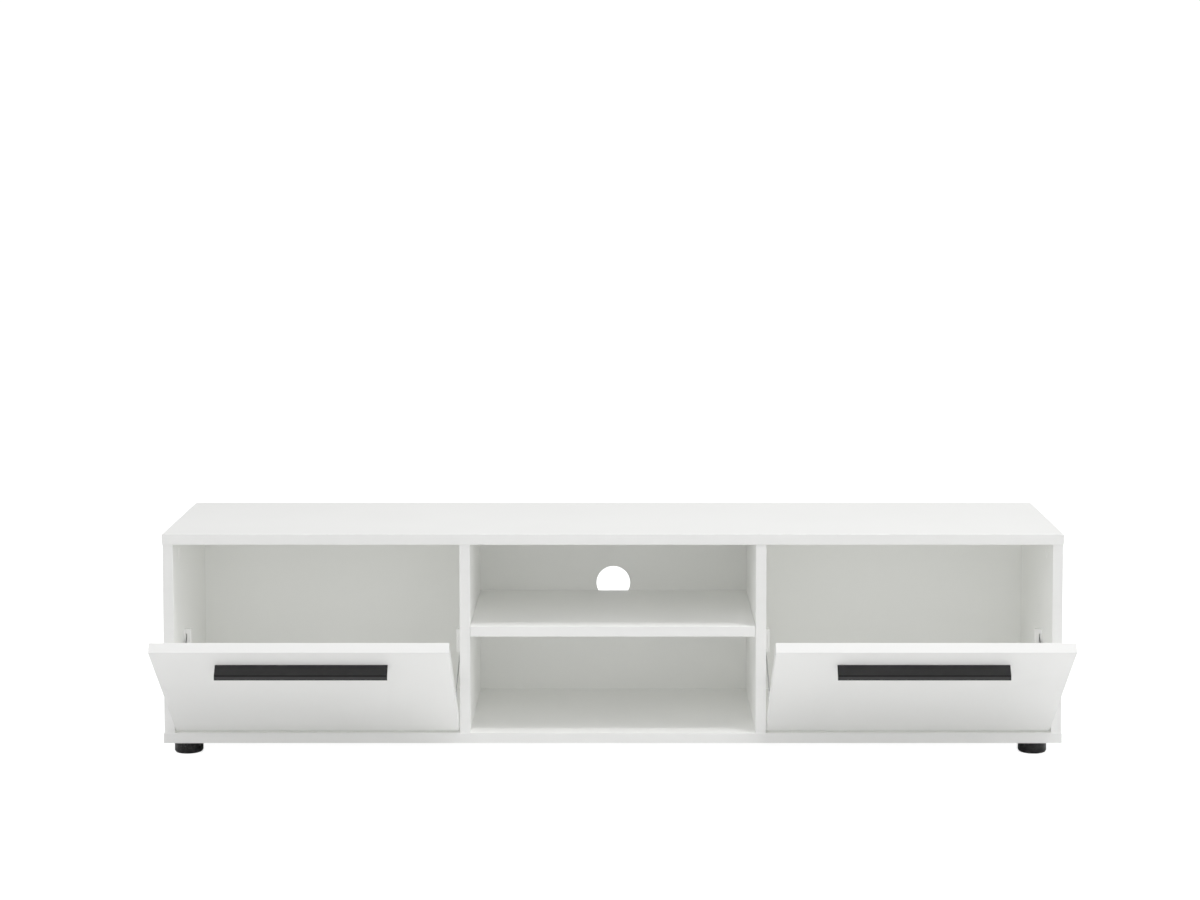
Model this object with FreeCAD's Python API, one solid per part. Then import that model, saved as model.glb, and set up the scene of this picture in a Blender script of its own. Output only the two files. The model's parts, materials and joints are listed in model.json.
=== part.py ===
import FreeCAD, Part
import math
import os

from FreeCAD import Vector

# TV stand: three equal bays, the outer two closed by flaps that drop down on bottom pivots.
# Millimetres. +X right, -Y front, +Z up. The stand is modelled with both flaps fully open.
# The origin lies on the floor, at the middle of the box around the open stand.

# Carcass
WIDTH = 1400.0
DEPTH = 320.0
HEIGHT = 350.0
BOARD = 16.0
FOOT_HEIGHT = 22.0
FOOT_RADIUS = 22.5
FOOT_BEVEL = 1.6
FOOT_BEVEL_HEIGHT = 2.6
FOOT_RECESS_RADIUS = 6.0
FOOT_RECESS = 9.0
FOOT_INSET_LEFT = 32.4
FOOT_INSET_RIGHT = 40.0
FOOT_INSET_Y = 41.0
UPRIGHT_INSET = 1.0
BAND = 1.0
BAND_ROUND = 0.5

# Back panel in its grooves
BACK_SETBACK = 300.0
BACK_THICKNESS = 3.0
GROOVE_DEPTH = 8.0
GROOVE_PLAY = 0.1
BACK_PLAY = 0.5
CABLE_HOLE_RADIUS = 28.0
CABLE_HOLE_Z = 218.0

# Centre shelf
SHELF_BOTTOM = 189.5
SHELF_SIDE_PLAY = 0.5
SHELF_FRONT_INSET = 2.0
SHELF_BACK_PLAY = 1.0

# Flaps
OPEN_ANGLE = 53.0
FLAP_SIDE_GAP = 1.5
FLAP_BOTTOM_GAP = 4.0
FLAP_TOP_GAP = 3.0
PIVOT_SETBACK = 8.0
PIVOT_RISE = 8.0
PIN_RADIUS = 2.5
PIN_IN_FLAP = 15.0
PIN_END_GAP = 0.5
BUSH_RADIUS = 4.0
BUSH_DEPTH = 9.0
BUSH_FLANGE_RADIUS = 6.0
BUSH_FLANGE = 1.0
BUSH_END_WALL = 1.0

# Handles: a ledge that turns down into a lip, gripped from below, on two screwed blocks
HANDLE_LENGTH = 256.0
HANDLE_DROP = 42.2
HANDLE_LEDGE = 17.3
HANDLE_LIP = 7.2
HANDLE_WALL = 2.5
HANDLE_OUTER_ROUND = 2.0
HANDLE_INNER_ROUND = 1.0
HANDLE_SCREW_SPACING = 224.0
HANDLE_BLOCK = 18.0
HANDLE_BLOCK_DEPTH = 9.0
HANDLE_BLOCK_HEIGHT = 8.0

# Stays: an arm on each end of a flap slides through a slotted guide on the bay's wall
ARM_PIVOT_BACK = 19.0
ARM_PIVOT_UP = 70.0
ARM_OFFSET = 2.9
ARM_THICKNESS = 1.2
ARM_WIDTH = 5.0
ARM_EYE_RADIUS = 5.0
GUIDE_CENTRE_BACK = 99.5
GUIDE_PASS_Z = 166.0
GUIDE_DEPTH = 11.0
GUIDE_PROJECTION = 11.0
GUIDE_LOW = 145.0
GUIDE_HIGH = 182.0
GUIDE_BOTTOM_WALL = 2.0
GUIDE_TOP_WALL = 7.0
GUIDE_SLOT = 2.2
GUIDE_ROUND = 1.5
GUIDE_PLATE = 1.8
GUIDE_PLATE_LENGTH = 15.0
GUIDE_PLATE_INSET = 3.0
GUIDE_SCREW_INSET = 9.0
STOP_PIN_RADIUS = 2.5
STOP_PIN_GAP = 0.3
STOP_PIN_OFFSET = 2.1
STOP_PIN_LENGTH = 3.6
RIVET_RADIUS = 2.0
RIVET_HEAD_RADIUS = 3.5
RIVET_HEAD = 0.9
RIVET_PLAY = 0.1
LUG_PLATE = 2.0
LUG_FOOT = 16.0
LUG_LENGTH = 26.0
LUG_GAP = 0.4
LUG_SCREW_PLACE = 0.62

# Fastenings. Each screw is (shank radius, length under the head, head radius, head height).
FIT = 0.05
CUT_MARGIN = 1.0
HOLE_END_PLAY = 0.5
FASTENER_SETBACKS = (60.0, 240.0)
DOWEL_SETBACKS = (110.0, 190.0)
DOWEL_RADIUS = 4.0
DOWEL_CHAMFER = 0.8
DOWEL_IN_BOARD = 10.0
DOWEL_IN_UPRIGHT = 20.0
CAM_DROP = 24.0
CAM_RADIUS = 7.5
CAM_DEPTH = 12.5
CAM_SLOT_WIDTH = 7.6
CAM_SLOT_LENGTH = 8.0
CAM_SLOT_BELOW = 3.0
CAM_DRIVER_LENGTH = 9.0
CAM_DRIVER_WIDTH = 1.4
CAM_DRIVER_DEPTH = 2.0
BOLT_THREAD_RADIUS = 2.5
BOLT_THREAD = 10.0
BOLT_COLLAR_RADIUS = 3.5
BOLT_COLLAR = 2.0
BOLT_SHANK_RADIUS = 2.0
BOLT_HEAD_RADIUS = 3.2
BOLT_HEAD = 3.5
BOLT_HEAD_BELOW = 1.5
BOLT_HOLE_RADIUS = 3.6
BOLT_HOLE_BELOW = 4.0
CAP_RADIUS = 8.5
CAP_THICKNESS = 0.8
CAP_ROUND = 0.4
CONFIRMAT_HEAD_RADIUS = 5.0
CONFIRMAT_HEAD = 3.0
CONFIRMAT_NECK_RADIUS = 3.4
CONFIRMAT_THREAD_RADIUS = 2.5
CONFIRMAT_THREAD = 34.0
CONFIRMAT_SOCKET_RADIUS = 2.0
CONFIRMAT_SOCKET = 2.5
GUIDE_SCREW = (1.75, 12.8, 3.5, 1.75)
GUIDE_SCREW_SOCKET_RADIUS = 1.0
GUIDE_SCREW_SOCKET = 0.9
BACK_SCREW = (1.5, 16.0, 3.2, 2.0)
BACK_SCREW_HEIGHTS = (80.0, 186.0, 292.0)
FOOT_SCREW = (2.1, 25.0, 4.2, 2.8)
LUG_SCREW = (1.75, 13.0, 3.4, 2.0)
HANDLE_SCREW = (2.0, BOARD + 7.0, 4.0, 2.4)
CROSS_WIDTH = 0.7
CROSS_REACH_OF_HEAD = 0.6
CROSS_DEPTH_OF_HEAD = 0.5
ROUND_OF_HEAD = 0.45
EDGE_TOLERANCE = 0.01
SHELF_PIN_SETBACKS = (37.0, 262.0)
SHELF_PIN_RADIUS = 2.5
SHELF_PIN_LENGTH = 8.0

# Places that follow from the sizes above. The open flap's top corner reaches furthest forward.
flap_height = HEIGHT - 2 * BOARD - FOOT_HEIGHT - FLAP_BOTTOM_GAP - FLAP_TOP_GAP
open_radians = math.radians(OPEN_ANGLE)
flap_reach = (
    PIVOT_SETBACK * math.cos(open_radians)
    + (flap_height - PIVOT_RISE) * math.sin(open_radians)
    - PIVOT_SETBACK
)
front = (flap_reach - DEPTH) / 2
rear = front + DEPTH
half_width = WIDTH / 2
bottom_low = FOOT_HEIGHT
bottom_high = bottom_low + BOARD
top_low = HEIGHT - BOARD
upright_front = front + UPRIGHT_INSET
back_front = front + BACK_SETBACK
back_rear = back_front + BACK_THICKNESS
side_outer = half_width - UPRIGHT_INSET
side_inner = side_outer - BOARD
bay_width = (2 * side_outer - 4 * BOARD) / 3
divider_inner = bay_width / 2
divider_outer = divider_inner + BOARD
pivot_y = front + PIVOT_SETBACK
pivot_z = bottom_high + FLAP_BOTTOM_GAP + PIVOT_RISE
flap_low = bottom_high + FLAP_BOTTOM_GAP
flap_high = flap_low + flap_height
guide_y = front + GUIDE_CENTRE_BACK
handle_top = flap_high - HANDLE_DROP
handle_screw_z = handle_top - HANDLE_WALL - HANDLE_BLOCK_HEIGHT / 2
ear_near = ARM_OFFSET + ARM_THICKNESS + LUG_GAP
upright_centres = (
    -(side_inner + side_outer) / 2,
    -(divider_inner + divider_outer) / 2,
    (divider_inner + divider_outer) / 2,
    (side_inner + side_outer) / 2,
)

TINY = 1e-6


def box(low, high):
    size = [b - a for a, b in zip(low, high)]
    return Part.makeBox(size[0], size[1], size[2], Vector(*low))


def rod(start, direction, radius, length):
    return Part.makeCylinder(radius, length, Vector(*start), Vector(*direction))


def cone(start, direction, radius_a, radius_b, length):
    return Part.makeCone(radius_a, radius_b, length, Vector(*start), Vector(*direction))


def rounded_edges(shape, radius, wanted):
    """Round the edges whose two ends both satisfy wanted(point)."""
    edges = [e for e in shape.Edges if all(wanted(v.Point) for v in e.Vertexes)]
    return shape.makeFillet(radius, edges)


def banded_board(low, high, thick_axis, sides):
    """Split a board into its core and the strips glued to the named (axis, end) sides."""
    whole = box(low, high)
    ends = (low, high)

    def on_band_edge(point):
        at_face = min(abs(point[thick_axis] - e[thick_axis]) for e in ends) < TINY
        return at_face and any(abs(point[axis] - ends[end][axis]) < TINY for axis, end in sides)

    band_edges = []
    for edge in whole.Edges:
        points = [v.Point for v in edge.Vertexes]
        along_a_side = any(
            all(abs(p[axis] - ends[end][axis]) < TINY for p in points) for axis, end in sides
        )
        on_one_face = abs(points[0][thick_axis] - points[1][thick_axis]) < TINY
        if along_a_side and on_one_face and all(on_band_edge(p) for p in points):
            band_edges.append(edge)
    core = whole.makeFillet(BAND_ROUND, band_edges)
    strips = []
    for axis, end in sides:
        slab_low = [v - BAND for v in low]
        slab_high = [v + BAND for v in high]
        if end == 0:
            slab_high[axis] = low[axis] + BAND
        else:
            slab_low[axis] = high[axis] - BAND
        slab = box(slab_low, slab_high)
        strips.append(core.common(slab))
        core = core.cut(slab)
    return core, strips


def cut_all(shape, tools):
    for tool in tools:
        shape = shape.cut(tool)
    return shape


def save(name, shapes):
    solids = [solid for shape in shapes for solid in shape.Solids]
    shape = solids[0] if len(solids) == 1 else Part.makeCompound(solids)
    shape.exportStep("parts/" + name + ".step")


# Fastenings of the carcass -------------------------------------------------------------

def dowels_and_holes():
    """Two dowels at the top and bottom joint of each upright."""
    dowels = []
    holes = []
    length = DOWEL_IN_BOARD + DOWEL_IN_UPRIGHT
    for x in upright_centres:
        for setback in DOWEL_SETBACKS:
            y = front + setback
            for face_z, into_board in ((top_low, 1), (bottom_high, -1)):
                towards_upright = (0, 0, -into_board)
                start = (x, y, face_z + into_board * DOWEL_IN_BOARD)
                pin = rod(start, towards_upright, DOWEL_RADIUS, length)
                dowels.append(pin.makeChamfer(DOWEL_CHAMFER, [pin.Edges[0], pin.Edges[2]]))
                start = (x, y, start[2] + into_board * HOLE_END_PLAY)
                holes.append(
                    rod(start, towards_upright, DOWEL_RADIUS + FIT, length + 2 * HOLE_END_PLAY))
    return dowels, holes


def cam_face(x):
    """The face that each upright's cams are bored from, and the direction out of it."""
    if x < 0:
        return (x + BOARD / 2, 1) if x < -divider_outer else (x - BOARD / 2, -1)
    return (x - BOARD / 2, -1) if x > divider_outer else (x + BOARD / 2, 1)


def cam_bolt(x, y, cam_z):
    thread = rod((x, y, top_low), (0, 0, 1), BOLT_THREAD_RADIUS, BOLT_THREAD)
    collar = rod((x, y, top_low), (0, 0, -1), BOLT_COLLAR_RADIUS, BOLT_COLLAR)
    shank = rod((x, y, top_low), (0, 0, -1), BOLT_SHANK_RADIUS, top_low - cam_z)
    head = rod((x, y, cam_z - BOLT_HEAD_BELOW), (0, 0, 1), BOLT_HEAD_RADIUS, BOLT_HEAD)
    return thread.fuse([collar, shank, head]).removeSplitter()


def cam_lock(x, y, cam_z):
    """Round lock, slotted for the bolt's head and for a screwdriver."""
    face_x, outward = cam_face(x)
    lock = rod((face_x, y, cam_z), (-outward, 0, 0), CAM_RADIUS, CAM_DEPTH)
    slot = box(
        (x - CAM_SLOT_LENGTH / 2, y - CAM_SLOT_WIDTH / 2, cam_z - CAM_SLOT_BELOW),
        (x + CAM_SLOT_LENGTH / 2, y + CAM_SLOT_WIDTH / 2, cam_z + 2 * CAM_RADIUS))
    near_x, far_x = sorted((face_x, face_x - outward * CAM_DRIVER_DEPTH))
    driver = box(
        (near_x, y - CAM_DRIVER_LENGTH / 2, cam_z - CAM_DRIVER_WIDTH / 2),
        (far_x, y + CAM_DRIVER_LENGTH / 2, cam_z + CAM_DRIVER_WIDTH / 2))
    return lock.cut(slot).cut(driver)


def cam_cap(x, y, cam_z):
    face_x, outward = cam_face(x)
    cap = rod((face_x, y, cam_z), (outward, 0, 0), CAP_RADIUS, CAP_THICKNESS)
    outer_x = face_x + outward * CAP_THICKNESS
    return rounded_edges(cap, CAP_ROUND, lambda p: abs(p.x - outer_x) < TINY)


def cam_fittings():
    """Cam bolts in the top panel, and the cam locks and caps in the uprights."""
    bolts, locks, caps, top_holes, upright_holes = [], [], [], [], []
    cam_z = top_low - CAM_DROP
    bolt_hole_low = cam_z - BOLT_HOLE_BELOW
    for x in upright_centres:
        face_x, outward = cam_face(x)
        for setback in FASTENER_SETBACKS:
            y = front + setback
            bolts.append(cam_bolt(x, y, cam_z))
            locks.append(cam_lock(x, y, cam_z))
            caps.append(cam_cap(x, y, cam_z))
            top_holes.append(
                rod((x, y, top_low), (0, 0, 1), BOLT_THREAD_RADIUS + FIT, BOLT_THREAD + HOLE_END_PLAY))
            upright_holes.append(
                rod((x, y, bolt_hole_low), (0, 0, 1), BOLT_HOLE_RADIUS, top_low - bolt_hole_low))
            upright_holes.append(
                rod((face_x, y, cam_z), (-outward, 0, 0), CAM_RADIUS + FIT, CAM_DEPTH + HOLE_END_PLAY))
    return bolts, locks, caps, top_holes, upright_holes


def confirmat_screws():
    """Long screws from below through the bottom panel into each upright."""
    screws, panel_holes, upright_holes = [], [], []
    up = (0, 0, 1)
    neck_length = BOARD - CONFIRMAT_HEAD
    for x in upright_centres:
        for setback in FASTENER_SETBACKS:
            low = (x, front + setback, bottom_low)
            middle = (x, front + setback, bottom_low + CONFIRMAT_HEAD)
            high = (x, front + setback, bottom_high)
            head = cone(low, up, CONFIRMAT_HEAD_RADIUS, CONFIRMAT_NECK_RADIUS, CONFIRMAT_HEAD)
            neck = rod(middle, up, CONFIRMAT_NECK_RADIUS, neck_length)
            thread = rod(high, up, CONFIRMAT_THREAD_RADIUS, CONFIRMAT_THREAD)
            socket = rod(low, up, CONFIRMAT_SOCKET_RADIUS, CONFIRMAT_SOCKET)
            screws.append(head.fuse([neck, thread]).removeSplitter().cut(socket))
            panel_holes.append(
                cone(low, up, CONFIRMAT_HEAD_RADIUS + FIT, CONFIRMAT_NECK_RADIUS + FIT, CONFIRMAT_HEAD))
            panel_holes.append(rod(middle, up, CONFIRMAT_NECK_RADIUS + FIT, neck_length))
            upright_holes.append(
                rod(high, up, CONFIRMAT_THREAD_RADIUS + FIT, CONFIRMAT_THREAD + HOLE_END_PLAY))
    return screws, panel_holes, upright_holes


def pan_screw(start, direction, screw):
    """A screw whose head stands on start and whose shank runs along direction."""
    shank_radius, length, head_radius, head_height = screw
    tip = tuple(s - d * head_height for s, d in zip(start, direction))
    head = rod(tip, direction, head_radius, head_height)
    top_edges = [e for e in head.Edges
                 if (e.CenterOfMass - Vector(*tip)).Length < EDGE_TOLERANCE]
    head = head.makeFillet(head_height * ROUND_OF_HEAD, top_edges)
    shank = rod(start, direction, shank_radius, length)
    cross_reach = head_radius * CROSS_REACH_OF_HEAD
    cross_depth = head_height * CROSS_DEPTH_OF_HEAD
    cross = [box((tip[0] - a, tip[1] - b, tip[2] - c), (tip[0] + a, tip[1] + b, tip[2] + c))
             for a, b, c in cross_arms(direction, cross_reach, cross_depth)]
    return cut_all(head.fuse(shank).removeSplitter(), cross)


def screw_hole(start, direction, screw):
    """The hole that a screw of this size turns into."""
    return rod(start, direction, screw[0] + FIT, screw[1] + HOLE_END_PLAY)


def cross_arms(direction, reach, depth):
    """Half sizes of the two bars that cut a cross recess in a screw head."""
    along = [i for i in range(3) if abs(direction[i]) > 0.5][0]
    bars = []
    for wide in [i for i in range(3) if i != along]:
        half = [CROSS_WIDTH / 2] * 3
        half[wide] = reach
        half[along] = depth
        bars.append(half)
    return bars


# Carcass -------------------------------------------------------------------------------

def groove_tools():
    """The grooves that hold the back panel."""
    y0 = back_front - GROOVE_PLAY
    y1 = back_rear + GROOVE_PLAY
    groove_x = side_inner + GROOVE_DEPTH
    top = box((-groove_x, y0, top_low - CUT_MARGIN), (groove_x, y1, top_low + GROOVE_DEPTH))
    bottom = box((-groove_x, y0, bottom_high - GROOVE_DEPTH), (groove_x, y1, bottom_high + CUT_MARGIN))
    left = box((-groove_x, y0, bottom_low), (-side_inner + CUT_MARGIN, y1, HEIGHT))
    right = box((side_inner - CUT_MARGIN, y0, bottom_low), (groove_x, y1, HEIGHT))
    return top, bottom, left, right


def carcass():
    dowels, dowel_holes = dowels_and_holes()
    cam_bolts, cam_locks, cam_caps, cam_top_holes, cam_upright_holes = cam_fittings()
    confirmats, confirmat_panel_holes, confirmat_upright_holes = confirmat_screws()
    groove_top, groove_bottom, groove_left, groove_right = groove_tools()
    feet, foot_screws, foot_holes = feet_and_screws()
    guides, guide_screws, guide_holes = guides_and_screws()
    back_screws, back_screw_holes = back_panel_screws()
    shelf_pins, shelf_pin_holes = shelf_pin_set()
    ring = [(1, 0), (1, 1), (0, 0), (0, 1)]

    core, strips = banded_board(
        (-half_width, front, top_low), (half_width, rear, HEIGHT), 2, ring)
    save("top_panel", [cut_all(core, [groove_top] + dowel_holes + cam_top_holes)])
    save("top_panel_edge_bands", strips)

    core, strips = banded_board(
        (-half_width, front, bottom_low), (half_width, rear, bottom_high), 2, ring)
    tools = [groove_bottom] + dowel_holes + confirmat_panel_holes + foot_holes
    save("bottom_panel", [cut_all(core, tools)])
    save("bottom_panel_edge_bands", strips)

    upright_tools = dowel_holes + cam_upright_holes + confirmat_upright_holes
    upright_tools += guide_holes + bush_holes()
    upright_strips = []
    for name, x, groove, end in (
        ("left_side_panel", upright_centres[0], groove_left, rear),
        ("left_divider", upright_centres[1], None, back_front),
        ("right_divider", upright_centres[2], None, back_front),
        ("right_side_panel", upright_centres[3], groove_right, rear),
    ):
        core, strips = banded_board(
            (x - BOARD / 2, upright_front, bottom_high),
            (x + BOARD / 2, end, top_low), 0, [(1, 0)])
        tools = upright_tools + ([groove] if groove else back_screw_holes + shelf_pin_holes)
        save(name, [cut_all(core, tools)])
        upright_strips += strips
    save("upright_edge_bands", upright_strips)

    core, strips = banded_board(
        (-divider_inner + SHELF_SIDE_PLAY, front + SHELF_FRONT_INSET, SHELF_BOTTOM),
        (divider_inner - SHELF_SIDE_PLAY, back_front - SHELF_BACK_PLAY, SHELF_BOTTOM + BOARD),
        2, [(1, 0)])
    save("centre_shelf", [core])
    save("centre_shelf_edge_band", strips)

    save("back_panel", [back_panel(back_screw_holes)])
    save("wood_dowels", dowels)
    save("cam_bolts", cam_bolts)
    save("cam_locks", cam_locks)
    save("cam_cover_caps", cam_caps)
    save("bottom_screws", confirmats)
    save("back_panel_screws", back_screws)
    save("shelf_pins", shelf_pins)
    for name, foot in feet.items():
        save(name, [foot])
    save("foot_screws", foot_screws)
    for name, guide in guides.items():
        save(name, [guide])
    save("stay_guide_screws", guide_screws)


def back_panel(screw_holes):
    edge_x = side_inner + GROOVE_DEPTH - BACK_PLAY
    sheet = box(
        (-edge_x, back_front, bottom_high - GROOVE_DEPTH + BACK_PLAY),
        (edge_x, back_rear, top_low + GROOVE_DEPTH - BACK_PLAY))
    hole_start = (0, back_front - CUT_MARGIN, CABLE_HOLE_Z)
    hole = rod(hole_start, (0, 1, 0), CABLE_HOLE_RADIUS, BACK_THICKNESS + 2 * CUT_MARGIN)
    return cut_all(sheet, [hole] + screw_holes)


def back_panel_screws():
    """Screws from behind through the back panel into the dividers."""
    screws, holes = [], []
    for x in upright_centres[1:3]:
        for z in BACK_SCREW_HEIGHTS:
            screws.append(pan_screw((x, back_rear, z), (0, -1, 0), BACK_SCREW))
            holes.append(screw_hole((x, back_rear, z), (0, -1, 0), BACK_SCREW))
    return screws, holes


def shelf_pin_set():
    """Pins in the dividers that carry the shelf."""
    pins, holes = [], []
    z = SHELF_BOTTOM - SHELF_PIN_RADIUS
    for side in (-1, 1):
        for setback in SHELF_PIN_SETBACKS:
            start = (side * (divider_inner - SHELF_PIN_LENGTH), front + setback, z)
            pins.append(rod(start, (side, 0, 0), SHELF_PIN_RADIUS, 2 * SHELF_PIN_LENGTH))
            hole_start = (side * divider_inner, front + setback, z)
            length = SHELF_PIN_LENGTH + HOLE_END_PLAY
            holes.append(rod(hole_start, (side, 0, 0), SHELF_PIN_RADIUS + FIT, length))
    return pins, holes


def feet_and_screws():
    """Round feet, each hollowed from below for its screw."""
    feet, screws, holes = {}, [], []
    up = (0, 0, 1)
    for row, y in (("front", front + FOOT_INSET_Y), ("rear", rear - FOOT_INSET_Y)):
        for side, x in (("left", FOOT_INSET_LEFT - half_width), ("right", half_width - FOOT_INSET_RIGHT)):
            bevel = cone((x, y, 0), up, FOOT_RADIUS - FOOT_BEVEL, FOOT_RADIUS, FOOT_BEVEL_HEIGHT)
            body = rod((x, y, FOOT_BEVEL_HEIGHT), up, FOOT_RADIUS, FOOT_HEIGHT - FOOT_BEVEL_HEIGHT)
            recess = rod((x, y, 0), up, FOOT_RECESS_RADIUS, FOOT_RECESS)
            seat = (x, y, FOOT_RECESS)
            foot = bevel.fuse(body).removeSplitter().cut(recess)
            feet[row + "_" + side + "_foot"] = foot.cut(screw_hole(seat, up, FOOT_SCREW))
            screws.append(pan_screw(seat, up, FOOT_SCREW))
            holes.append(screw_hole(seat, up, FOOT_SCREW))
    return feet, screws, holes


# Bays: each bay's two walls carry a pivot bush and a stay guide -------------------------------

def bay_walls():
    """Name, wall face and direction into the bay, for the walls of the two closed bays."""
    return (
        ("left_flap", "outer", -side_inner, 1),
        ("left_flap", "inner", -divider_outer, -1),
        ("right_flap", "inner", divider_outer, 1),
        ("right_flap", "outer", side_inner, -1),
    )


def bush_holes():
    length = BUSH_DEPTH + HOLE_END_PLAY
    return [rod((wall, pivot_y, pivot_z), (-into, 0, 0), BUSH_RADIUS + FIT, length)
            for _, _, wall, into in bay_walls()]


def pivot_bushes():
    """Flanged bushes pressed into the walls; each flap's pins turn in its pair."""
    bushes = {}
    for flap, _, wall, into in bay_walls():
        body = rod((wall, pivot_y, pivot_z), (-into, 0, 0), BUSH_RADIUS, BUSH_DEPTH)
        flange = rod((wall, pivot_y, pivot_z), (into, 0, 0), BUSH_FLANGE_RADIUS, BUSH_FLANGE)
        bore_start = (wall + into * BUSH_FLANGE, pivot_y, pivot_z)
        bore_length = BUSH_DEPTH + BUSH_FLANGE - BUSH_END_WALL
        bore = rod(bore_start, (-into, 0, 0), PIN_RADIUS + FIT, bore_length)
        bushes.setdefault(flap, []).append(body.fuse(flange).removeSplitter().cut(bore))
    return bushes


def across_from(wall, into):
    """A function that turns two distances from a wall into a low and a high x."""
    return lambda near, far: sorted((wall + into * near, wall + into * far))


def stay_guide(wall, into):
    """Block with an upright slot for the arm, in one piece with a screw plate behind it."""
    across = across_from(wall, into)
    half = GUIDE_DEPTH / 2
    far_x = wall + into * GUIDE_PROJECTION
    x0, x1 = across(0, GUIDE_PROJECTION)
    block = box((x0, guide_y - half, GUIDE_LOW), (x1, guide_y + half, GUIDE_HIGH))
    block = rounded_edges(block, GUIDE_ROUND, lambda p: abs(p.x - far_x) < TINY)
    slot_near = ARM_OFFSET + ARM_THICKNESS / 2 - GUIDE_SLOT / 2
    x0, x1 = across(slot_near, slot_near + GUIDE_SLOT)
    slot = box((x0, guide_y - GUIDE_DEPTH, GUIDE_LOW + GUIDE_BOTTOM_WALL),
               (x1, guide_y + GUIDE_DEPTH, GUIDE_HIGH - GUIDE_TOP_WALL))
    x0, x1 = across(0, GUIDE_PLATE)
    plate = box((x0, guide_y, GUIDE_LOW + GUIDE_PLATE_INSET),
                (x1, guide_y + half + GUIDE_PLATE_LENGTH, GUIDE_HIGH - GUIDE_PLATE_INSET))
    return block.cut(slot).fuse(plate).removeSplitter()


def guides_and_screws():
    """The four stay guides and the countersunk screws that hold them."""
    guides, screws, holes = {}, [], []
    shank_radius, length, head_radius, head_height = GUIDE_SCREW
    for flap_name, place, wall, into in bay_walls():
        guide = stay_guide(wall, into)
        inward = (-into, 0, 0)
        for z in (GUIDE_LOW + GUIDE_SCREW_INSET, GUIDE_HIGH - GUIDE_SCREW_INSET):
            y = guide_y + (GUIDE_DEPTH + GUIDE_PLATE_LENGTH) / 2
            centre = (wall + into * GUIDE_PLATE, y, z)
            head = cone(centre, inward, head_radius, shank_radius, head_height)
            shank = rod(centre, inward, shank_radius, length)
            socket = rod(centre, inward, GUIDE_SCREW_SOCKET_RADIUS, GUIDE_SCREW_SOCKET)
            screws.append(head.fuse(shank).removeSplitter().cut(socket))
            sink = cone(centre, inward, head_radius + FIT, shank_radius + FIT, head_height)
            hole = screw_hole(centre, inward, GUIDE_SCREW)
            guide = guide.cut(sink).cut(hole)
            holes.append(hole)
        guides[flap_name + "_" + place + "_stay_guide"] = guide
    return guides, screws, holes


# Flaps, modelled closed and then turned open about their pivots -------------------------------

def turned_open(shape):
    shape.rotate(Vector(0, pivot_y, pivot_z), Vector(1, 0, 0), OPEN_ANGLE)
    return shape


def handle_bar(screw_places):
    """A ledge on the flap's outer face, turned down into a lip, on a block at each screw.

    The lip slopes outward, so that it hangs straight down when the flap is open."""
    slope = math.radians(90.0 - OPEN_ANGLE)
    bend = front - HANDLE_LEDGE
    tip = (bend - HANDLE_LIP * math.cos(slope), handle_top - HANDLE_LIP * math.sin(slope))
    inner_tip = (tip[0] + HANDLE_WALL * math.sin(slope), tip[1] - HANDLE_WALL * math.cos(slope))
    inner_bend = bend + HANDLE_WALL * math.tan(slope / 2)
    ledge_low = handle_top - HANDLE_WALL
    outline = [(front, handle_top), (bend, handle_top), tip, inner_tip,
               (inner_bend, ledge_low), (front, ledge_low)]
    x = sum(screw_places) / 2 - HANDLE_LENGTH / 2
    points = [Vector(x, y, z) for y, z in outline]
    profile = Part.Face(Part.makePolygon(points + points[:1]))
    bar = profile.extrude(Vector(HANDLE_LENGTH, 0, 0))
    for y, z, radius in ((bend, handle_top, HANDLE_OUTER_ROUND),
                         (inner_bend, ledge_low, HANDLE_INNER_ROUND)):
        bar = rounded_edges(bar, radius, lambda p: abs(p.y - y) < TINY and abs(p.z - z) < TINY)
    for screw_x in screw_places:
        block = box(
            (screw_x - HANDLE_BLOCK / 2, front - HANDLE_BLOCK_DEPTH, ledge_low - HANDLE_BLOCK_HEIGHT),
            (screw_x + HANDLE_BLOCK / 2, front, ledge_low))
        bar = bar.fuse(block)
    return bar.removeSplitter()


def lug_with_screws(wall, into, pivot):
    """Angle lug on the flap's inner face: an ear for the rivet and a foot with two screws."""
    across = across_from(wall, into)
    inner_face = front + BOARD
    low_z = pivot.z - LUG_LENGTH / 2
    high_z = pivot.z + LUG_LENGTH / 2
    eye_radius = LUG_LENGTH / 4
    x0, x1 = across(ear_near, ear_near + LUG_PLATE)
    corners = [
        Vector(x0, inner_face, low_z),
        Vector(x0, inner_face, high_z),
        Vector(x0, pivot.y, pivot.z + eye_radius),
        Vector(x0, pivot.y, pivot.z - eye_radius),
    ]
    web = Part.Face(Part.makePolygon(corners + corners[:1])).extrude(Vector(LUG_PLATE, 0, 0))
    eye = rod((x0, pivot.y, pivot.z), (1, 0, 0), eye_radius, LUG_PLATE)
    x0, x1 = across(ear_near, ear_near + LUG_FOOT)
    foot = box((x0, inner_face, low_z), (x1, inner_face + LUG_PLATE, high_z))
    lug = web.fuse([eye, foot]).removeSplitter()
    rivet_hole_start = (wall + into * ear_near, pivot.y, pivot.z)
    lug = lug.cut(rod(rivet_hole_start, (into, 0, 0), RIVET_RADIUS + FIT, LUG_PLATE))
    screws, holes = [], []
    for z in (pivot.z - LUG_LENGTH / 4, pivot.z + LUG_LENGTH / 4):
        start = (wall + into * (ear_near + LUG_FOOT * LUG_SCREW_PLACE), inner_face + LUG_PLATE, z)
        screws.append(pan_screw(start, (0, -1, 0), LUG_SCREW))
        holes.append(screw_hole(start, (0, -1, 0), LUG_SCREW))
    return cut_all(lug, holes), screws, holes


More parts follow.
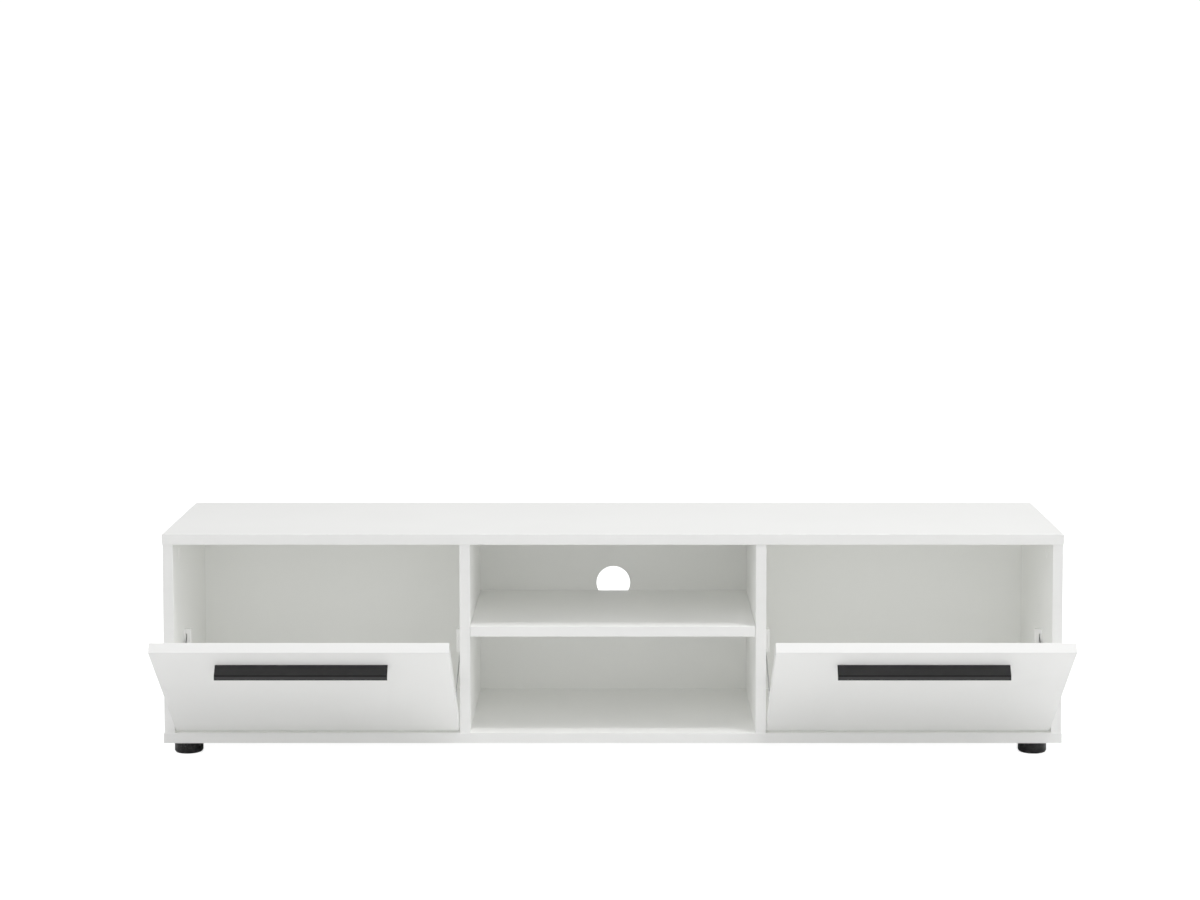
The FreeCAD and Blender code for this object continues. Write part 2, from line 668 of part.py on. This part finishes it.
def stay_rivet(wall, into, pivot):
    """Rivet through the arm's eye and the lug's ear, with a head at each end."""
    near = ARM_OFFSET - RIVET_PLAY - RIVET_HEAD
    far = ear_near + LUG_PLATE + RIVET_HEAD
    start = (wall + into * near, pivot.y, pivot.z)
    end = (wall + into * far, pivot.y, pivot.z)
    shank = rod(start, (into, 0, 0), RIVET_RADIUS, far - near)
    near_head = rod(start, (into, 0, 0), RIVET_HEAD_RADIUS, RIVET_HEAD)
    far_head = rod(end, (-into, 0, 0), RIVET_HEAD_RADIUS, RIVET_HEAD)
    return shank.fuse([near_head, far_head]).removeSplitter()


def stay_arm(wall, into):
    """Flat arm from the flap's lug to its guide, with a stop pin behind the guide.

    It is placed as it lies with the flap open."""
    across = across_from(wall, into)
    hinge = Vector(0, pivot_y, pivot_z)
    turn = FreeCAD.Rotation(Vector(1, 0, 0), OPEN_ANGLE)
    pivot = turn.multVec(Vector(0, ARM_PIVOT_BACK, ARM_PIVOT_UP)) + hinge
    slope = math.atan2(GUIDE_PASS_Z - pivot.z, guide_y - pivot.y)
    stop_y = guide_y + GUIDE_DEPTH / 2 + STOP_PIN_RADIUS + STOP_PIN_GAP
    end_y = pivot.y + (stop_y - pivot.y) / math.cos(slope)
    x0, x1 = across(ARM_OFFSET, ARM_OFFSET + ARM_THICKNESS)
    bar = box((x0, pivot.y, pivot.z - ARM_WIDTH / 2), (x1, end_y, pivot.z + ARM_WIDTH / 2))
    eye = rod((x0, pivot.y, pivot.z), (1, 0, 0), ARM_EYE_RADIUS, ARM_THICKNESS)
    end = rod((x0, end_y, pivot.z), (1, 0, 0), ARM_WIDTH / 2, ARM_THICKNESS)
    hole = rod((x0, pivot.y, pivot.z), (1, 0, 0), RIVET_RADIUS + FIT, ARM_THICKNESS)
    stop_x = across(STOP_PIN_OFFSET, STOP_PIN_OFFSET + STOP_PIN_LENGTH)[0]
    stop = rod((stop_x, end_y, pivot.z), (1, 0, 0), STOP_PIN_RADIUS, STOP_PIN_LENGTH)
    arm = bar.fuse([eye, end, stop]).removeSplitter().cut(hole)
    arm.rotate(pivot, Vector(1, 0, 0), math.degrees(slope))
    return arm


def flap_pin(wall, into):
    """Pin from the wall's bush into the flap's edge, and the hole for it in the flap."""
    in_bush = BUSH_DEPTH - BUSH_END_WALL - PIN_END_GAP
    pin_start = (wall - into * in_bush, pivot_y, pivot_z)
    pin = rod(pin_start, (into, 0, 0), PIN_RADIUS, in_bush + FLAP_SIDE_GAP + PIN_IN_FLAP)
    hole_start = (wall, pivot_y, pivot_z)
    hole_length = FLAP_SIDE_GAP + PIN_IN_FLAP + HOLE_END_PLAY
    return pin, rod(hole_start, (into, 0, 0), PIN_RADIUS + FIT, hole_length)


def flap(name):
    walls = [(place, wall, into) for owner, place, wall, into in bay_walls() if owner == name]
    x0, x1 = sorted(wall + into * FLAP_SIDE_GAP for _, wall, into in walls)
    arm_pivot = Vector(0, pivot_y + ARM_PIVOT_BACK, pivot_z + ARM_PIVOT_UP)
    core, strips = banded_board(
        (x0, front, flap_low), (x1, front + BOARD, flap_high), 1,
        [(2, 1), (2, 0), (0, 0), (0, 1)])

    pins, pin_holes, lugs, lug_screws, lug_holes, rivets = [], [], [], [], [], []
    for place, wall, into in walls:
        pin, hole = flap_pin(wall, into)
        pins.append(pin)
        pin_holes.append(hole)
        lug, screws, holes = lug_with_screws(wall, into, arm_pivot)
        lugs.append(lug)
        lug_screws += screws
        lug_holes += holes
        rivets.append(stay_rivet(wall, into, arm_pivot))
        save(name + "_" + place + "_stay_arm", [stay_arm(wall, into)])

    handle_screws, handle_holes = [], []
    screw_places = [(x0 + x1 + side * HANDLE_SCREW_SPACING) / 2 for side in (-1, 1)]
    for x in screw_places:
        start = (x, front + BOARD, handle_screw_z)
        handle_screws.append(pan_screw(start, (0, -1, 0), HANDLE_SCREW))
        handle_holes.append(screw_hole(start, (0, -1, 0), HANDLE_SCREW))

    opened = {
        "panel": [cut_all(core, pin_holes + lug_holes + handle_holes)],
        "edge_bands": [cut_all(strip, pin_holes) for strip in strips],
        "handle": [cut_all(handle_bar(screw_places), handle_holes)],
        "handle_screws": handle_screws,
        "pivot_pins": pins,
        "stay_lugs": lugs,
        "stay_rivets": rivets,
        "lug_screws": lug_screws,
    }
    for piece, shapes in opened.items():
        save(name + "_" + piece, [turned_open(shape) for shape in shapes])


os.makedirs("parts", exist_ok=True)
carcass()
for flap_name, bushes in pivot_bushes().items():
    save(flap_name + "_pivot_bushes", bushes)
for flap_name in ("left_flap", "right_flap"):
    flap(flap_name)
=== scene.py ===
import json
import math

import bpy
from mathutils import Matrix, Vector

# White TV stand with two drop-down flaps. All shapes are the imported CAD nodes; this script gives
# them their materials, and sets the floor, the light and the camera. Metres, +Z up, -Y front.

# Camera: a long lens a little above the stand, looking slightly down
CAMERA_PLACE = (0.0100, -3.8797, 0.9998)
CAMERA_PITCH_DEG = 3.63
CAMERA_LENS_MM = 74.76
CAMERA_SHIFT = (-0.0161, -0.1477)

# Stage
WHITE = (1.0, 1.0, 1.0, 1.0)
FLOOR_HALF_SIZE = 30.0
FLOOR_COLOR = (0.88, 0.88, 0.88, 1.0)
FLOOR_GLOW = 0.88
FLOOR_ROUGHNESS = 0.9
SKY_STRENGTH = 0.33
BACKDROP_STRENGTH = 1.05
LIGHT_BOUNCES = 16
DISPLAY_GAMMA = 1.3

# Softboxes: name, place, size and power in watts. All of them face the middle of the stand.
STAND_MIDDLE = (0.0, 0.0, 0.2)
SOFTBOXES = (
    ("key", (1.0, -0.65, 3.5), (0.6, 0.6), 46.0),
    ("overhead", (0.0, 0.0, 3.5), (4.0, 3.0), 31.0),
    ("front_high", (0.0, -3.2, 3.0), (4.0, 2.0), 8.6),
    ("front", (0.3, -4.5, 1.4), (5.0, 1.8), 12.2),
    ("right", (4.0, -1.5, 1.5), (2.0, 2.0), 35.1),
    ("left", (-4.0, -1.5, 1.5), (2.0, 2.0), 36.4),
)

# Each finish below has its colours, the scales of its noise patterns (a larger scale is finer),
# its roughness (one value, or the ends of a range) and the height of its relief in metres.

# Boards: satin melamine
MELAMINE = (0.900, 0.903, 0.886)
MELAMINE_SHADE = (0.882, 0.885, 0.868)
MELAMINE_CLOUDS = 6.0
MELAMINE_PEARL = 900.0
MELAMINE_PEARL_CONTRAST = 0.6
MELAMINE_ROUGHNESS = (0.38, 0.47)
MELAMINE_RELIEF = 0.00004

# Edge bands: plastic strip
BAND = (0.852, 0.854, 0.842)
BAND_SHADE = (0.838, 0.840, 0.828)
BAND_LINES = 120.0
BAND_GRAIN = 700.0
BAND_ROUGHNESS = 0.33
BAND_RELIEF = 0.00002

# Back panel: lacquered in front, plainer behind
LACQUER = (0.898, 0.902, 0.884)
LACQUER_SHADE = (0.878, 0.882, 0.864)
LACQUER_CLOUDS = 5.0
LACQUER_ROUGHNESS = 0.45
BACK_FACE = (0.70, 0.69, 0.665)
BACK_FACE_SHADE = (0.64, 0.625, 0.595)
BACK_FACE_ROUGHNESS = 0.8
BACK_FIBRES = 260.0
BACK_FIBRES_CONTRAST = 0.7
BACK_RELIEF = 0.00006

# Handles: powder-coated extrusion
POWDER_BLACK = (0.0016, 0.0016, 0.0018)
POWDER_BLACK_SHADE = (0.0030, 0.0030, 0.0034)
# Painted reflection: a paler black that colours the handle's lip to stand in for the light it catches
POWDER_BLACK_PAINTED_SHEEN = (0.0135, 0.0135, 0.0142)
POWDER_GRAIN = 1600.0
POWDER_LINES = 420.0
POWDER_ROUGHNESS = (0.30, 0.54)
POWDER_SPECULAR = 0.29
POWDER_SPECULAR_BEND = 0.12
POWDER_RELIEF = 0.00003
# Heights on the handle at rest: the lip at the bottom, coloured paler as a painted reflection, the
# dull bend above it, and the width over which one tone passes into the next
LIP_HEIGHT = 0.0050
BEND_HEIGHT = 0.0030
TONE_STEP = 0.0006

# Feet: moulded black plastic
PLASTIC_BLACK = (0.002, 0.002, 0.0022)
PLASTIC_BLACK_SHADE = (0.004, 0.004, 0.0043)
PLASTIC_BLACK_GRAIN = 700.0
PLASTIC_BLACK_ROUGHNESS = (0.24, 0.36)
PLASTIC_BLACK_SPECULAR = 0.2
PLASTIC_BLACK_RELIEF = 0.00003

# Guides, bushes and caps: moulded white plastic
PLASTIC_WHITE = (0.93, 0.93, 0.92)
PLASTIC_WHITE_SHADE = (0.905, 0.905, 0.893)
PLASTIC_WHITE_GRAIN = 800.0
PLASTIC_WHITE_ROUGHNESS = 0.38
PLASTIC_WHITE_RELIEF = 0.00003

# Screws, cams, pins and lugs: zinc plate
ZINC = (0.63, 0.64, 0.66)
ZINC_SHADE = (0.52, 0.53, 0.56)
ZINC_CLOUDS = 180.0
ZINC_METALLIC = 1.0
ZINC_ROUGHNESS = (0.22, 0.40)

# Stay arms: coated steel strip
GREY_STEEL = (0.26, 0.262, 0.27)
GREY_STEEL_LIGHT = (0.32, 0.322, 0.33)
GREY_STEEL_LINES = 500.0
GREY_STEEL_METALLIC = 0.8
GREY_STEEL_ROUGHNESS = (0.32, 0.46)
GREY_STEEL_RELIEF = 0.00002

# Dowels: bare beech
BEECH_LIGHT = (0.62, 0.44, 0.27)
BEECH_DARK = (0.47, 0.31, 0.18)
BEECH_GRAIN = 300.0
BEECH_ROUGHNESS = 0.6
BEECH_RELIEF = 0.00005

# Octaves of detail in a noise pattern
SOFT = 2.0
MEDIUM = 3.0
CRISP = 4.0
FIBROUS = 5.0

# Stretches that draw a pattern out into lines along one axis
LINES_ALONG_BAND = (0.05, 1.0, 1.0)
LINES_ALONG_HANDLE = (0.01, 1.0, 1.0)
LINES_ALONG_ARM = (1.0, 0.1, 1.0)
GRAIN_ALONG_DOWEL = (1.0, 1.0, 0.1)

# A noise pattern's usual low and high, and a face normal's Y on either side of "faces the back"
NOISE_RANGE = (0.3, 0.7)
FACES_BACK_RANGE = (0.4, 0.6)
FULL_RANGE = (0.0, 1.0)

# Sockets of the Mix node when it blends colours
MIX_FACTOR = 0
MIX_FIRST = 6
MIX_SECOND = 7
MIX_RESULT = 2


class Finish:
    """A procedural material under construction: nodes are added and linked by name."""

    def __init__(self, name, metallic=0.0, roughness=0.5, specular=0.5):
        self.material = bpy.data.materials.new(name)
        self.material.use_nodes = True
        self.tree = self.material.node_tree
        self.tree.nodes.clear()
        self.shader = self.add("ShaderNodeBsdfPrincipled")
        self.shader.inputs["Metallic"].default_value = metallic
        self.shader.inputs["Roughness"].default_value = roughness
        self.shader.inputs["Specular IOR Level"].default_value = specular
        output = self.add("ShaderNodeOutputMaterial")
        self.link(self.shader.outputs["BSDF"], output.inputs["Surface"])
        self.place = self.add("ShaderNodeTexCoord").outputs["Object"]

    def add(self, kind):
        return self.tree.nodes.new(kind)

    def link(self, source, target):
        self.tree.links.new(source, target)

    def stretched(self, scale):
        """The object's own coordinates, scaled along each axis."""
        node = self.add("ShaderNodeMapping")
        node.inputs["Scale"].default_value = scale
        self.link(self.place, node.inputs["Vector"])
        return node.outputs["Vector"]

    def axis(self, vector, name):
        """One axis of a vector."""
        node = self.add("ShaderNodeSeparateXYZ")
        self.link(vector, node.inputs["Vector"])
        return node.outputs[name]

    def noise(self, scale, detail=SOFT, roughness=0.5, place=None):
        node = self.add("ShaderNodeTexNoise")
        node.inputs["Scale"].default_value = scale
        node.inputs["Detail"].default_value = detail
        node.inputs["Roughness"].default_value = roughness
        self.link(place or self.place, node.inputs["Vector"])
        return node.outputs["Fac"]

    def remap(self, value, low, high, span=NOISE_RANGE):
        """The value carried over from its own span to low..high, and held there outside it."""
        node = self.add("ShaderNodeMapRange")
        node.inputs["From Min"].default_value = span[0]
        node.inputs["From Max"].default_value = span[1]
        node.inputs["To Min"].default_value = low
        node.inputs["To Max"].default_value = high
        self.link(value, node.inputs["Value"])
        return node.outputs["Result"]

    def compute(self, operation, value, amount=0.0):
        node = self.add("ShaderNodeMath")
        node.operation = operation
        self.link(value, node.inputs[0])
        node.inputs[1].default_value = amount
        return node.outputs["Value"]

    def blend(self, factor, first, second):
        """From the first colour, where the factor is 0, to the second, where it is 1."""
        node = self.add("ShaderNodeMix")
        node.data_type = "RGBA"
        for index, value in ((MIX_FIRST, first), (MIX_SECOND, second)):
            if isinstance(value, tuple):
                node.inputs[index].default_value = (*value, 1.0)
            else:
                self.link(value, node.inputs[index])
        self.link(factor, node.inputs[MIX_FACTOR])
        return node.outputs[MIX_RESULT]

    def mottled(self, pattern, first, second):
        """Two colours that take turns with a noise pattern."""
        return self.blend(self.remap(pattern, *FULL_RANGE), first, second)

    def color(self, value):
        self.link(value, self.shader.inputs["Base Color"])

    def roughness(self, value):
        self.link(value, self.shader.inputs["Roughness"])

    def specular(self, value):
        self.link(value, self.shader.inputs["Specular IOR Level"])

    def bump(self, height, distance):
        node = self.add("ShaderNodeBump")
        node.inputs["Strength"].default_value = 1.0
        node.inputs["Distance"].default_value = distance
        self.link(height, node.inputs["Height"])
        self.link(node.outputs["Normal"], self.shader.inputs["Normal"])


def white_melamine():
    """Satin melamine: a fine pearl grain, with barely visible cloudiness in the tone."""
    finish = Finish("white_melamine")
    clouds = finish.noise(MELAMINE_CLOUDS, MEDIUM)
    finish.color(finish.mottled(clouds, MELAMINE, MELAMINE_SHADE))
    pearl = finish.noise(MELAMINE_PEARL, MEDIUM, MELAMINE_PEARL_CONTRAST)
    finish.roughness(finish.remap(pearl, *MELAMINE_ROUGHNESS))
    finish.bump(pearl, MELAMINE_RELIEF)
    return finish.material


def white_band():
    """Plastic edge band: smoother than the boards, with faint lines along the long strips."""
    finish = Finish("white_edge_band", roughness=BAND_ROUGHNESS)
    lines = finish.noise(BAND_LINES, place=finish.stretched(LINES_ALONG_BAND))
    finish.color(finish.mottled(lines, BAND, BAND_SHADE))
    finish.bump(finish.noise(BAND_GRAIN), BAND_RELIEF)
    return finish.material


def backboard():
    """Thin fibreboard: white lacquer in front, a duller fibrous face behind."""
    finish = Finish("white_backboard")
    normal = finish.add("ShaderNodeNewGeometry").outputs["Normal"]
    behind = finish.remap(finish.axis(normal, "Y"), *FULL_RANGE, FACES_BACK_RANGE)
    clouds = finish.noise(LACQUER_CLOUDS)
    front_face = finish.mottled(clouds, LACQUER, LACQUER_SHADE)
    fibres = finish.noise(BACK_FIBRES, FIBROUS, BACK_FIBRES_CONTRAST)
    back_face = finish.mottled(fibres, BACK_FACE, BACK_FACE_SHADE)
    finish.color(finish.blend(behind, front_face, back_face))
    finish.roughness(finish.remap(behind, LACQUER_ROUGHNESS, BACK_FACE_ROUGHNESS, FULL_RANGE))
    finish.bump(fibres, BACK_RELIEF)
    return finish.material


def black_powder_coat(handle):
    """Fine matt powder coat with faint lines along the handle, dull in its bend, and a painted
    reflection on its lip: a paler black there.
    """
    finish = Finish("black_powder_coat")
    height = finish.axis(finish.place, "Z")
    lip_top = min(vertex.co.z for vertex in handle.data.vertices) + LIP_HEIGHT

    grain = finish.noise(POWDER_GRAIN)
    coat = finish.mottled(grain, POWDER_BLACK, POWDER_BLACK_SHADE)
    # Painted reflection: below lip_top the coat turns to the paler black
    painted_sheen_on_lip = finish.remap(height, 1.0, 0.0, (lip_top, lip_top + TONE_STEP))
    finish.color(finish.blend(painted_sheen_on_lip, coat, POWDER_BLACK_PAINTED_SHEEN))

    half_bend = BEND_HEIGHT / 2
    above_bend = finish.compute("SUBTRACT", height, lip_top + half_bend)
    from_bend = finish.compute("ABSOLUTE", above_bend)
    bend_edge = (half_bend - TONE_STEP, half_bend)
    finish.specular(finish.remap(from_bend, POWDER_SPECULAR_BEND, POWDER_SPECULAR, bend_edge))

    lines = finish.noise(POWDER_LINES, MEDIUM, place=finish.stretched(LINES_ALONG_HANDLE))
    finish.roughness(finish.remap(lines, *POWDER_ROUGHNESS))
    finish.bump(grain, POWDER_RELIEF)
    return finish.material


def black_plastic():
    """Moulded black plastic with a satin sheen."""
    finish = Finish("black_plastic", specular=PLASTIC_BLACK_SPECULAR)
    grain = finish.noise(PLASTIC_BLACK_GRAIN, MEDIUM)
    finish.color(finish.mottled(grain, PLASTIC_BLACK, PLASTIC_BLACK_SHADE))
    finish.roughness(finish.remap(grain, *PLASTIC_BLACK_ROUGHNESS))
    finish.bump(grain, PLASTIC_BLACK_RELIEF)
    return finish.material


def white_plastic():
    """Moulded white plastic with a fine grain."""
    finish = Finish("white_plastic", roughness=PLASTIC_WHITE_ROUGHNESS)
    grain = finish.noise(PLASTIC_WHITE_GRAIN)
    finish.color(finish.mottled(grain, PLASTIC_WHITE, PLASTIC_WHITE_SHADE))
    finish.bump(grain, PLASTIC_WHITE_RELIEF)
    return finish.material


def zinc():
    """Bright zinc plate with the cloudy tone of small hardware."""
    finish = Finish("zinc_plate", metallic=ZINC_METALLIC)
    clouds = finish.noise(ZINC_CLOUDS, CRISP)
    finish.color(finish.mottled(clouds, ZINC, ZINC_SHADE))
    finish.roughness(finish.remap(clouds, *ZINC_ROUGHNESS))
    return finish.material


def grey_steel():
    """Coated steel strip, with faint lines from the rolling."""
    finish = Finish("grey_steel", metallic=GREY_STEEL_METALLIC)
    lines = finish.noise(GREY_STEEL_LINES, MEDIUM, place=finish.stretched(LINES_ALONG_ARM))
    finish.color(finish.mottled(lines, GREY_STEEL, GREY_STEEL_LIGHT))
    finish.roughness(finish.remap(lines, *GREY_STEEL_ROUGHNESS))
    finish.bump(lines, GREY_STEEL_RELIEF)
    return finish.material


def beech():
    """Bare beech, with its grain drawn out along Z."""
    finish = Finish("beech", roughness=BEECH_ROUGHNESS)
    grain = finish.noise(BEECH_GRAIN, CRISP, place=finish.stretched(GRAIN_ALONG_DOWEL))
    finish.color(finish.mottled(grain, BEECH_LIGHT, BEECH_DARK))
    finish.bump(grain, BEECH_RELIEF)
    return finish.material


def dress(nodes, record):
    """Every CAD node takes the material of its slot in the record."""
    made = {
        "white_board": white_melamine(),
        "white_edge_band": white_band(),
        "white_backboard": backboard(),
        "black_handle": black_powder_coat(nodes["left_flap_handle"]),
        "black_foot": black_plastic(),
        "white_plastic": white_plastic(),
        "zinc_steel": zinc(),
        "grey_steel": grey_steel(),
        "beech": beech(),
    }
    for part in record["subparts"]:
        node = nodes[part["node"]]
        material = made[part["material_slot"]]
        if not node.material_slots:
            node.data.materials.append(material)
        for slot in node.material_slots:
            slot.material = material


def floor():
    """A wide matt floor that looks as bright as the backdrop, but throws no extra light."""
    size = FLOOR_HALF_SIZE
    mesh = bpy.data.meshes.new("floor")
    corners = [(-size, -size, 0), (size, -size, 0), (size, size, 0), (-size, size, 0)]
    mesh.from_pydata(corners, [], [(0, 1, 2, 3)])
    plane = bpy.data.objects.new("floor", mesh)
    bpy.context.scene.collection.objects.link(plane)
    finish = Finish("pale_floor", roughness=FLOOR_ROUGHNESS, specular=0.0)
    finish.shader.inputs["Base Color"].default_value = FLOOR_COLOR
    finish.shader.inputs["Emission Color"].default_value = WHITE
    seen = finish.add("ShaderNodeLightPath").outputs["Is Camera Ray"]
    glow = finish.remap(seen, 0.0, FLOOR_GLOW, FULL_RANGE)
    finish.link(glow, finish.shader.inputs["Emission Strength"])
    mesh.materials.append(finish.material)


def sky():
    """Even light from all round, in front of a white backdrop."""
    world = bpy.data.worlds.new("studio")
    world.use_nodes = True
    tree = world.node_tree
    background = tree.nodes["Background"]
    background.inputs["Color"].default_value = WHITE
    strength = tree.nodes.new("ShaderNodeMapRange")
    strength.inputs["To Min"].default_value = SKY_STRENGTH
    strength.inputs["To Max"].default_value = BACKDROP_STRENGTH
    path = tree.nodes.new("ShaderNodeLightPath")
    tree.links.new(path.outputs["Is Camera Ray"], strength.inputs["Value"])
    tree.links.new(strength.outputs["Result"], background.inputs["Strength"])
    bpy.context.scene.world = world


def softbox(name, place, size, power):
    """A rectangular lamp that faces the middle of the stand."""
    light = bpy.data.lights.new(name, "AREA")
    light.shape = "RECTANGLE"
    light.size, light.size_y = size
    light.energy = power
    lamp = bpy.data.objects.new(name, light)
    lamp.location = place
    aim = Vector(STAND_MIDDLE) - Vector(place)
    lamp.rotation_euler = aim.to_track_quat("-Z", "Y").to_euler()
    bpy.context.scene.collection.objects.link(lamp)


def camera():
    """The view from the front."""
    data = bpy.data.cameras.new("camera")
    data.lens = CAMERA_LENS_MM
    data.shift_x, data.shift_y = CAMERA_SHIFT
    eye = bpy.data.objects.new("camera", data)
    eye.location = CAMERA_PLACE
    eye.rotation_euler = (math.radians(90.0 - CAMERA_PITCH_DEG), 0.0, 0.0)
    bpy.context.scene.collection.objects.link(eye)
    bpy.context.scene.camera = eye


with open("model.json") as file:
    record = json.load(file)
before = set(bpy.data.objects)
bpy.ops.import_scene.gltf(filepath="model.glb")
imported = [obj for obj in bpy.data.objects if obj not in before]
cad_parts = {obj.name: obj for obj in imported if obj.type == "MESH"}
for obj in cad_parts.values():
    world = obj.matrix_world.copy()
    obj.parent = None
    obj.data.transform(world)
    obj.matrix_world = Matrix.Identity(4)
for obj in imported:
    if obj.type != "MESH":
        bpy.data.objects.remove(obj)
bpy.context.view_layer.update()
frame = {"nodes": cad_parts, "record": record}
scene = bpy.context.scene
scene.view_settings.view_transform = "Standard"
scene.view_settings.gamma = DISPLAY_GAMMA
scene.cycles.max_bounces = LIGHT_BOUNCES
scene.cycles.diffuse_bounces = LIGHT_BOUNCES
camera()
floor()
sky()
for box in SOFTBOXES:
    softbox(*box)
dress(frame["nodes"], frame["record"])
